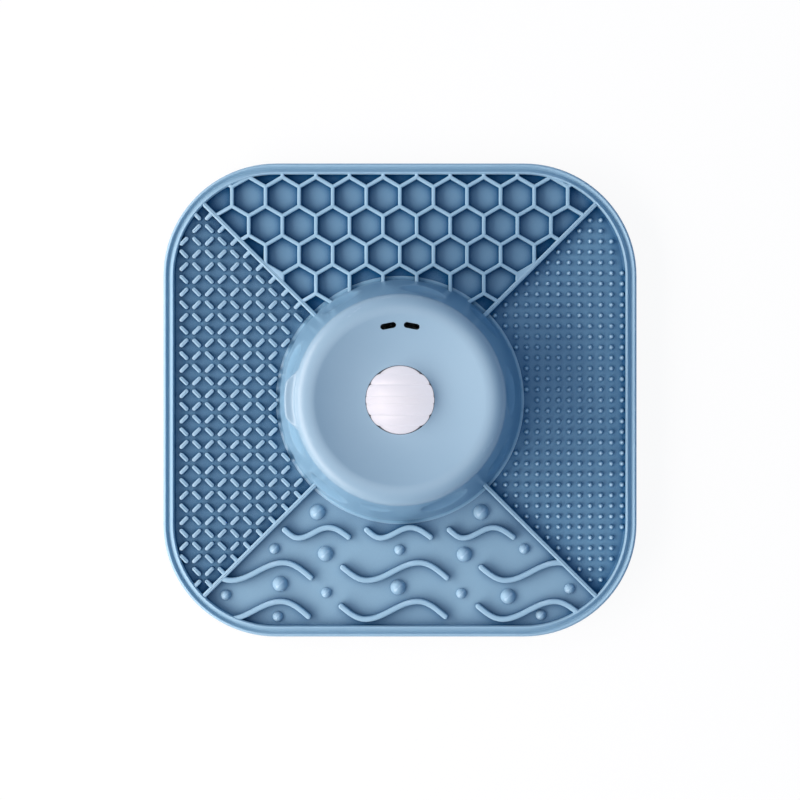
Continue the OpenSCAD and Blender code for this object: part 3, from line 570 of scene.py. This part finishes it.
def wavePiece():
    bm = bmesh.new()
    for kind in (waves["short"], waves["long"]):
        scattered(bm, waveRib(kind), [placed(x, y, floorTop - mat["deepSink"]) for x, y in kind["places"]])
    finished(trimmed(bm, 270), "mat_waves", matSilicone, "base", "mat")


domes = {
    "arcSteps": 10, "steps": 36,
    "big": {"d": 6.5, "h": 2.8, "places": [(-35, -47.6), (-31.6, -65.2), (-50.8, -78), (-0.8, -79.4),
                                           (34.4, -47.6), (27.3, -65.5), (45.9, -83.3)]},
    "small": {"d": 4.4, "h": 2, "places": [(-53.2, -63.1), (-73.8, -82.7), (-51.8, -91.8), (-31.2, -81.7),
                                           (-0.2, -63.5), (52.7, -63.1), (26, -82), (71.9, -80),
                                           (59.7, -91.1)]}}


def domePiece():
    bm = bmesh.new()
    for kind in (domes["big"], domes["small"]):
        halfD, h = kind["d"] / 2, kind["h"]
        r = (halfD ** 2 + h ** 2) / (2 * h)
        low = math.degrees(math.asin((h - r) / r))
        cap = arcPoints((0, h - r), r, r, -low, 90, domes["arcSteps"])[:-1] + [(0, h)]
        dome = turned([(0, -mat["sink"]), (halfD, -mat["sink"])] + cap, domes["steps"])
        scattered(bm, meshOf(dome), [placed(x, y, floorTop) for x, y in kind["places"]])
    finished(solid(bm), "mat_domes", domeSilicone, "base", "mat", sharp=50)


for build in (trayPiece, dividerPiece, honeycombPiece, dashPiece, dotPiece, wavePiece, domePiece):
    build()
print("stage: mat")


# The hub: its leaning wall with scooped craters, and the spigot that passes through the mat
hub = {
    "footR": 51.5, "topR": 43.2, "height": 32.6, "wall": 2.4, "flare": 1.1, "flareH": 2.4, "flareSteps": 10,
    "steps": 360, "rows": 46, "rimRound": 0.35,
    "spigotR": 50.3, "spigotBore": 48.3, "spigotBottom": 6.05, "spigotEase": 0.1,
    "ledgeR": 42.3, "mouthR": 40.8, "ledgeZ": 39.8, "beadZ": 7.82, "beadDepth": 0.5,
    "craterW": 21, "craterTall": 17.5, "craterSoft": 0.03, "craterDeep": 1.75, "craterFade": 1.2,
    "craterFrom": 1, "skin": 0.8,    # the craters move what is this high up and this close to the wall's face
    # angle clockwise from the back, share of the wall's height, share of the widest
    "craters": [(11.5, 0.6, 0.94), (47.5, 0.36, 0.8), (85, 0.66, 0.97), (120.5, 0.38, 0.84),
                (156.6, 0.6, 1), (192.9, 0.68, 0.6), (219.3, 0.38, 0.94), (251.4, 0.66, 0.88),
                (288.8, 0.48, 0.9), (328.8, 0.36, 0.87)]}
hubTop = floorTop + hub["height"]


def hubRadius(height):
    return hub["footR"] - (hub["footR"] - hub["topR"]) * height / hub["height"]


def craterDepth(x, y, h):
    # how far the craters take the wall in here, each a shallow scoop that is soft at its edge
    depth = 0
    for angle, heightShare, widthShare in hub["craters"]:
        along = (math.degrees(math.atan2(x, y)) - angle + 180) % 360 - 180
        halfW, halfTall = hub["craterW"] * widthShare / 2, hub["craterTall"] * widthShare / 2
        across = math.radians(along) * math.hypot(x, y) / halfW
        up = (h - hub["height"] * heightShare) / halfTall
        bowl = 1 - across ** 2 - up ** 2
        if bowl > -2:
            full = hub["craterDeep"] * halfW ** 2 / (2 * hubRadius(hub["height"] * heightShare))
            depth += full * (bowl + math.sqrt(bowl ** 2 + hub["craterSoft"] ** 2)) / 2
    return depth * smoothStep((hub["height"] - h) / hub["craterFade"])


def hubPiece():
    footR, flareTop = hub["footR"] + hub["flare"], hub["flare"] / 2 + hub["flareH"]
    flare = arcPoints((footR, floorTop + flareTop), footR - hubRadius(flareTop), hub["flareH"], -90, -180,
                      hub["flareSteps"])
    rise = (hub["height"] - flareTop) / hub["rows"]
    wall = [(hubRadius(h), floorTop + h) for h in [flareTop + rise * i for i in range(1, hub["rows"])]]
    bore, bead = hub["spigotBore"], hub["beadDepth"]
    inside = [(hub["topR"], hubTop), (hub["ledgeR"], hubTop), (hub["ledgeR"], hub["ledgeZ"]),
              (hub["mouthR"], hub["ledgeZ"]),
              (hubRadius(hub["flareH"]) - hub["wall"], floorTop + hub["flareH"]),
              (bore, floorTop - hub["spigotEase"]), (bore, hub["beadZ"] + bead), (bore + bead, hub["beadZ"]),
              (bore, hub["beadZ"] - bead), (bore, hub["spigotBottom"]),
              (hub["spigotR"], hub["spigotBottom"]), (hub["spigotR"], floorTop), (footR, floorTop)]
    bm = turned(softened(flare + wall + inside, hub["rimRound"]), hub["steps"])
    for v in bm.verts:
        x, y, h = v.co.x / mm, v.co.y / mm, v.co.z / mm - floorTop
        r = math.hypot(x, y)
        if h >= hub["craterFrom"] and r >= hubRadius(h) - hub["skin"]:
            depth = craterDepth(x, y, h)
            v.co.x -= x / r * depth * mm
            v.co.y -= y / r * depth * mm
    finished(solid(bm), "hub_wall", hubPlastic, "base", "hub_housing", sharp=28)


hubPiece()
print("stage: hub")


# The cup that lifts out, with its turned rim
cup = {"wall": 1.5, "flangeT": 1.4, "r": 40.4, "flangeR": 41.9, "draft": 0.9, "floor": 10.8, "cornerR": 7,
       "cornerSteps": 12, "seat": 0.05, "rimRound": 0.35, "steps": 144}


def cupPiece():
    outR, inR = cup["cornerR"], cup["cornerR"] - cup["wall"]
    bend = (cup["r"] - cup["draft"] - outR, cup["floor"] + outR)
    outside = arcPoints(bend, outR, outR, -90, 0, cup["cornerSteps"])
    inside = arcPoints(bend, inR, inR, 0, -90, cup["cornerSteps"])
    flange = hubTop - cup["flangeT"] + cup["seat"]
    rim = [(cup["r"], flange), (cup["flangeR"], flange), (cup["flangeR"], hubTop),
           (cup["r"] - cup["wall"], hubTop)]
    outline = [(0, cup["floor"])] + outside + rim + inside + [(0, cup["floor"] + cup["wall"])]
    finished(solid(turned(softened(outline, cup["rimRound"]), cup["steps"])), "reservoir_cup_shell",
             cupPlastic, "cup", "reservoir_cup")


cupPiece()
print("stage: cup")


# The lid: round shoulder, shallow dish, pull tab, two air slots, plug skirt and the collar round the ball
ball = {
    "d": 30.4, "gap": 0.3, "lipGap": 0.14, "wall": 2.6, "steps": 128, "boreSteps": 20,
    "grooves": [(6, 0.25), (25.5, 0.6), (47, 0.7)],    # degrees from the seam, depth
    "bandPower": 3.6, "grooveHalf": 0.4}
lid = {
    "seatGap": 0.05, "r": 43.4, "edgeH": 0.9, "shoulderW": 6.4, "shoulderH": 5.2, "crestTurn": 24,
    "shoulderSteps": 40, "dishR": 120, "dishSteps": 24, "shell": 2.2, "underSteps": 12,
    "openingR": 14.3, "land": 0.3, "socketTurn": 3, "socketSteps": 6, "innerRound": 0.3, "steps": 360,
    "skirtR": 38.4, "skirtT": 2.5, "skirtH": 6.4, "skirtRoot": 0.5,
    "sealGroove": 1, "sealH": 2.4, "sealPlay": 0.1, "sealLip": 0.25, "sealSteps": 10, "sealTurnSteps": 144,
    "collarT": 2.5, "collarDrop": 4, "lugs": 3, "lugW": 5, "lugH": 1.6, "lugD": 1.5, "lugSink": 1,
    "tabReach": 3.9, "tabTipHalf": 5.6, "tabRootHalf": 13.5, "tabT": 1.7, "tabRows": 26,
    "tabJoin": 34, "tabJoinSteps": 12,    # degrees up the shoulder where the tab's top runs out
    "tabRound": 0.8, "tabRoundSteps": 6, "hollowOut": 1.7, "hollowW": 2.2, "hollowH": 1.6, "hollowSteps": 8,
    "slotLength": 6.5, "slotW": 2.4, "slotOut": 30.2, "slotSpacing": 9.6, "slotSlope": 10.8,
    "slotSteps": 10, "slotCutH": 12, "slotCutDrop": 4}
lidSeat = hubTop + lid["seatGap"]
lidCrest = lidSeat + lid["shoulderH"]
crestR = lid["r"] - lid["shoulderW"]
shoulderRise = lid["shoulderH"] - lid["edgeH"]
crestTurn = math.radians(lid["crestTurn"])
dishEdge = (crestR - lid["shoulderW"] * math.sin(crestTurn),
            lidCrest - shoulderRise * (1 - math.cos(crestTurn)))


def dishHeight(r):
    middle = dishEdge[1] + math.sqrt(lid["dishR"] ** 2 - dishEdge[0] ** 2)
    return middle - math.sqrt(lid["dishR"] ** 2 - r ** 2)


socketR = ball["d"] / 2 + ball["gap"]
lipZ = dishHeight(lid["openingR"]) - lid["land"]
ballZ = lipZ - math.sqrt(socketR ** 2 - lid["openingR"] ** 2)
lipR = math.sqrt((ball["d"] / 2 + ball["lipGap"]) ** 2 - (lipZ - ballZ) ** 2)    # the lip hugs the ball
collarR = socketR + lid["collarT"]
collarBottom = ballZ - lid["collarDrop"]
sealZ = lidSeat - lid["skirtH"] / 2


def resampled(points, count):
    # the same line with evenly spaced points
    lengths = [0]
    for a, b in zip(points, points[1:]):
        lengths.append(lengths[-1] + math.dist(a, b))
    done = []
    for i in range(count):
        want = lengths[-1] * i / (count - 1)
        k = max(j for j in range(len(points) - 1) if lengths[j] <= want + 1e-9)
        t = (want - lengths[k]) / (lengths[k + 1] - lengths[k])
        done.append(tuple(a + (b - a) * t for a, b in zip(points[k], points[k + 1])))
    return done


def shoulderLine(start, end, steps):
    return arcPoints((crestR, lidSeat + lid["edgeH"]), lid["shoulderW"], shoulderRise, start, end, steps)


def lidOutline(edge):
    # from the edge over the shoulder and down the dish, round the ball's socket and back under to the skirt
    shoulder = shoulderLine(lid["tabJoin"], 90 + lid["crestTurn"], lid["shoulderSteps"])[1:]
    inward = (lipR - dishEdge[0]) / lid["dishSteps"]
    dish = [(r, dishHeight(r)) for r in [dishEdge[0] + inward * i for i in range(1, lid["dishSteps"] + 1)]]
    low = math.degrees(math.acos(lid["openingR"] / socketR)) - lid["socketTurn"]
    socket = [(lipR, lipZ)] + arcPoints((0, ballZ), socketR, socketR, low, 0, lid["socketSteps"])
    collar = [(socketR, collarBottom), (collarR, collarBottom)]
    outward = (dishEdge[0] - collarR) / lid["underSteps"]
    under = [(r, dishHeight(r) - lid["shell"])
             for r in [collarR + outward * i for i in range(lid["underSteps"] + 1)]]
    skirtR, skirtIn, skirtLow = lid["skirtR"], lid["skirtR"] - lid["skirtT"], lidSeat - lid["skirtH"]
    grooveR, half = skirtR - lid["sealGroove"], lid["sealH"] / 2 + lid["sealPlay"]
    skirt = [(skirtIn, lidSeat - lid["skirtRoot"]), (skirtIn, skirtLow), (skirtR, skirtLow),
             (skirtR, sealZ - half), (grooveR, sealZ - half), (grooveR, sealZ + half), (skirtR, sealZ + half),
             (skirtR, lidSeat)]
    inner = softened(dish[-1:] + socket + collar + under + skirt, lid["innerRound"])
    # the first and last corners of this stretch aren't corners of the lid, so half of each goes
    return edge + shoulder + dish[:-1] + inner[2:-2] + [(skirtR, lidSeat)]


def tabLine(edge):
    # section of the pull tab, with as many points as the lid's own edge
    tip, top, bend = lid["r"] + lid["tabReach"], lidSeat + lid["tabT"], lid["tabRound"]
    tipArc = arcPoints((tip - bend, top - bend), bend, bend, 0, 90, lid["tabRoundSteps"])
    hollow = arcPoints((lid["r"] + lid["hollowOut"], top + lid["hollowH"]), lid["hollowW"], lid["hollowH"],
                       -90, -165, lid["hollowSteps"])
    return resampled([(tip, lidSeat)] + tipArc + hollow + [edge[-1]], lid["tabRows"])


def drawTab(bm, edge):
    # the tab is drawn out of the lid's edge, with a round run-out at each side
    tab = tabLine(edge)
    for v in bm.verts:
        x, y = v.co.x / mm, v.co.y / mm
        side = abs(lid["r"] * math.sin(math.atan2(y, -x)))
        if x > 0 or side > lid["tabRootHalf"]:
            continue
        here = (math.hypot(x, y), v.co.z / mm)
        nearest = min(range(lid["tabRows"]), key=lambda i: math.dist(edge[i], here))
        if math.dist(edge[nearest], here) > near["level"]:
            continue
        share = 1 - smoothStep((side - lid["tabTipHalf"]) / (lid["tabRootHalf"] - lid["tabTipHalf"]))
        r = here[0] + (tab[nearest][0] - edge[nearest][0]) * share
        v.co.x, v.co.y = x / here[0] * r * mm, y / here[0] * r * mm
        v.co.z = (here[1] + (tab[nearest][1] - edge[nearest][1]) * share) * mm


def lidPiece():
    edge = resampled([(lid["r"], lidSeat)] + shoulderLine(0, lid["tabJoin"], lid["tabJoinSteps"]),
                     lid["tabRows"])
    bm = turned(lidOutline(edge), lid["steps"])
    drawTab(bm, edge)
    piece = solid(bm)
    for side in (-1, 1):
        slot = roundedBar(lid["slotLength"], lid["slotW"], lid["slotCutH"], 0, endSteps=lid["slotSteps"])
        slot.transform(placed(side * lid["slotSpacing"] / 2, lid["slotOut"], lidSeat - lid["slotCutDrop"],
                              -side * lid["slotSlope"]))
        carved(piece, solid(slot), "DIFFERENCE")
    lugs = bmesh.new()
    size = Matrix.Diagonal(((lid["lugD"] + lid["lugSink"]) * mm, lid["lugW"] * mm, lid["lugH"] * mm, 1))
    out = placed(collarR + (lid["lugD"] - lid["lugSink"]) / 2, 0, ballZ - lid["collarDrop"] / 2)
    for i in range(lid["lugs"]):
        turn = Matrix.Rotation(math.radians(360 * i / lid["lugs"]), 4, "Z")
        bmesh.ops.create_cube(lugs, size=1, matrix=turn @ out @ size)
    carved(piece, solid(lugs), "UNION")
    finished(piece, "lid_shell", lidPlastic, "lid", "lid", sharp=28)


def sealPiece():
    # a ring in the skirt's groove, with a soft round lip that touches the cup
    root, half, skirtR = lid["skirtR"] - lid["sealGroove"] + lid["sealPlay"], lid["sealH"] / 2, lid["skirtR"]
    lip = arcPoints((skirtR, sealZ), lid["sealLip"], half, -80, 80, lid["sealSteps"])
    outline = [(root, sealZ + half), (root, sealZ - half), (skirtR, sealZ - half)] + lip + [
        (skirtR, sealZ + half)]
    finished(solid(turned(outline, lid["sealTurnSteps"])), "lid_seal_ring", sealSilicone, "lid", "lid_seal")


lidPiece()
sealPiece()
print("stage: lid")


def ballRadius(angle):
    # each band between two grooves is a soft pillow; angle is from the seam, in degrees
    first, last = ball["grooves"][0], ball["grooves"][-1]
    marks = [(-first[0], first[1])] + ball["grooves"] + [(180 - last[0], last[1])]
    (start, startDepth), (end, endDepth) = next(pair for pair in zip(marks, marks[1:]) if angle <= pair[1][0])
    share = (2 * angle - start - end) / (end - start)
    return ball["d"] / 2 - (startDepth if share < 0 else endDepth) * abs(share) ** ball["bandPower"]


def ballPiece(name, node, side):
    half, bore = ball["grooveHalf"], ball["d"] / 2 - ball["wall"]
    besideGrooves = [groove + off for groove, depth in ball["grooves"] for off in (-half, 0, half)]
    outside = []
    for angle in sorted(set(list(range(90)) + besideGrooves)):
        r, turn = ballRadius(angle), math.radians(angle)
        outside.append((r * math.cos(turn), r * math.sin(turn)))
    inside = arcPoints((0, 0), bore, bore, 90, 0, ball["boreSteps"])[1:]
    outline = outside + [(0, ballRadius(90)), (0, bore)] + inside
    bm = turned([(r, side * h) for r, h in outline], ball["steps"], axis=(0, 1, 0))
    bmesh.ops.translate(bm, vec=(0, 0, ballZ * mm), verts=bm.verts)
    finished(solid(bm), name, ballNylon, "ball", node, sharp=40)


ballPiece("ball_front_shell", "ball_front_half", -1)
ballPiece("ball_back_shell", "ball_back_half", 1)
print("stage: ball")


suction = {
    "lipT": 0.6, "soleW": 0.96, "crownT": 1.4, "crownR": 6.8, "rows": 20, "underPower": 1.6, "overPower": 1.5,
    "stemR": 2.8, "stemLength": 1.9, "barb": 1.4, "headH": 2, "headEdge": 0.7, "headEase": 0.1,
    "round": 0.15, "steps": 96, "cornerR": 15, "cornerH": 3.4, "centreR": 24, "centreH": 4}


def suctionPiece(name, node, x, y, r, height):
    # a thin bell: its underside curves up to the crown, and a barbed stem plugs into the socket above
    stem, head = suction["stemR"], suction["stemR"] + suction["barb"]
    top = height + suction["stemLength"]
    headTop = top + suction["headH"] - suction["headEase"]
    shares = [i / suction["rows"] for i in range(suction["rows"] + 1)]
    under = [(t * (r - suction["soleW"]), (height - suction["crownT"]) * (1 - t ** suction["underPower"]))
             for t in shares]
    over = [(r + (suction["crownR"] - r) * t,
             suction["lipT"] + (height - suction["lipT"]) * (1 - (1 - t) ** suction["overPower"]))
            for t in shares]
    plug = [(stem, height), (stem, top), (head, top), (head, top + suction["headEdge"]),
            (stem - suction["headEase"], headTop), (0, headTop)]
    bm = turned(softened(under + [(r, 0)] + over + plug, suction["round"]), suction["steps"])
    bmesh.ops.translate(bm, vec=(x * mm, y * mm, 0), verts=bm.verts)
    finished(solid(bm), name, suctionSilicone, "base", node)


for sideY, where in ((-1, "front"), (1, "back")):
    for sideX, hand in ((-1, "left"), (1, "right")):
        suctionPiece("suction_bell_" + where + "_" + hand, "suction_cup_" + where + "_" + hand,
                     sideX * mat["socketAt"], sideY * mat["socketAt"], suction["cornerR"], suction["cornerH"])
suctionPiece("suction_bell_centre", "suction_cup_centre", 0, 0, suction["centreR"], suction["centreH"])
print("stage: suction cups")


# Pieces that keep the construction's own shape
for node, material in {"hub_base": hubPlastic, "ball_cage": cagePlastic}.items():
    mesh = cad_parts[node].data
    mesh.materials.clear()
    mesh.materials.append(material)
print("stage: carried-over pieces")


# Studio: white ground, one wide soft panel low on the left, a faint panel overhead, and a dim blue room
studio = {    # metres, degrees and watts
    "ground": 6, "groundColour": "#f2f3f5", "groundRoughness": 0.9, "groundWhite": 0.93,
    "skyColour": "#32b0ff", "skyStrength": 0.31,
    "panelTurn": 192, "panelLift": 32, "panelAway": 1.45, "panelSize": (2.6, 0.75), "panelPower": 51,
    "panelColour": "#ffefe4",
    "topAway": 1.6, "topSize": (1.2, 1.2), "topPower": 7.5, "topColour": "#fff6ef"}


def seenWhite(tree):
    # 1 for what the camera sees, also in gloss and through clear things, and 0 for light on the object
    path = addNode(tree, "ShaderNodeLightPath")
    seen = addNode(tree, "ShaderNodeMath", {"operation": "MAXIMUM"},
                   {0: path.outputs["Is Camera Ray"], 1: path.outputs["Is Glossy Ray"]})
    return addNode(tree, "ShaderNodeMath", {"operation": "MAXIMUM"},
                   {0: seen.outputs[0], 1: path.outputs["Is Transmission Ray"]}).outputs[0]


def groundMaterial():
    # pale paper sweep: plain white to the eye, but it still takes the object's shadow
    material = bpy.data.materials.new("white_paper_sweep")
    material.use_nodes = True
    tree = material.node_tree
    shader = tree.nodes["Principled BSDF"]
    shader.inputs["Base Color"].default_value = linear(studio["groundColour"])
    shader.inputs["Roughness"].default_value = studio["groundRoughness"]
    share = addNode(tree, "ShaderNodeMath", {"operation": "MULTIPLY", 1: studio["groundWhite"]},
                    {0: seenWhite(tree)})
    white = addNode(tree, "ShaderNodeEmission", {"Color": (1, 1, 1, 1), "Strength": 1})
    both = addNode(tree, "ShaderNodeMixShader", {},
                   {0: share.outputs[0], 1: shader.outputs[0], 2: white.outputs[0]})
    tree.links.new(both.outputs[0], tree.nodes["Material Output"].inputs["Surface"])
    return material


def panelLight(name, turn, lift, away, size, power, colour):
    # a soft panel that faces the object from this compass turn, height angle and distance
    lamp = bpy.data.lights.new(name, "AREA")
    lamp.shape = "RECTANGLE"
    lamp.size, lamp.size_y = size
    lamp.energy = power
    lamp.color = linear(colour)[:3]
    holder = bpy.data.objects.new(name, lamp)
    holder.rotation_euler = (math.radians(90 - lift), 0, math.radians(turn + 90))
    holder.location = holder.rotation_euler.to_matrix() @ Vector((0, 0, away))
    bpy.context.scene.collection.objects.link(holder)


def buildStudio():
    bm = bmesh.new()
    bmesh.ops.create_grid(bm, x_segments=1, y_segments=1, size=studio["ground"] / 2)
    ground = solid(bm, "ground")
    ground.data.materials.append(groundMaterial())
    panelLight("left_panel", studio["panelTurn"], studio["panelLift"], studio["panelAway"],
               studio["panelSize"], studio["panelPower"], studio["panelColour"])
    panelLight("overhead_panel", 0, 90, studio["topAway"], studio["topSize"], studio["topPower"],
               studio["topColour"])
    world = bpy.data.worlds.new("soft_room")
    bpy.context.scene.world = world
    world.use_nodes = True
    tree = world.node_tree
    tree.nodes.clear()
    room = addNode(tree, "ShaderNodeBackground",
                   {"Color": linear(studio["skyColour"]), "Strength": studio["skyStrength"]})
    white = addNode(tree, "ShaderNodeBackground", {"Color": (1, 1, 1, 1), "Strength": 1})
    both = addNode(tree, "ShaderNodeMixShader", {},
                   {0: seenWhite(tree), 1: room.outputs[0], 2: white.outputs[0]})
    addNode(tree, "ShaderNodeOutputWorld", {}, {"Surface": both.outputs[0]})


# Camera straight above the mat, whose rim takes up 473.6 of the image's 800 pixels
camera = {"above": 0.9, "imagePixels": 800, "matPixels": 473.6, "sensor": 36, "farEnd": 20}


def buildCamera():
    rimTop = floorTop + mat["innerRidge"]
    halfView = mat["width"] * mm * camera["imagePixels"] / camera["matPixels"] / 2
    data = bpy.data.cameras.new("camera")
    data.sensor_width = camera["sensor"]
    data.lens = camera["sensor"] / 2 * camera["above"] / halfView
    data.clip_end = camera["farEnd"]
    holder = bpy.data.objects.new("camera", data)
    holder.location = (0, 0, rimTop * mm + camera["above"])
    bpy.context.scene.collection.objects.link(holder)
    bpy.context.scene.camera = holder


buildStudio()
buildCamera()
bpy.context.scene.view_settings.view_transform = "Standard"
print("stage: studio and camera")
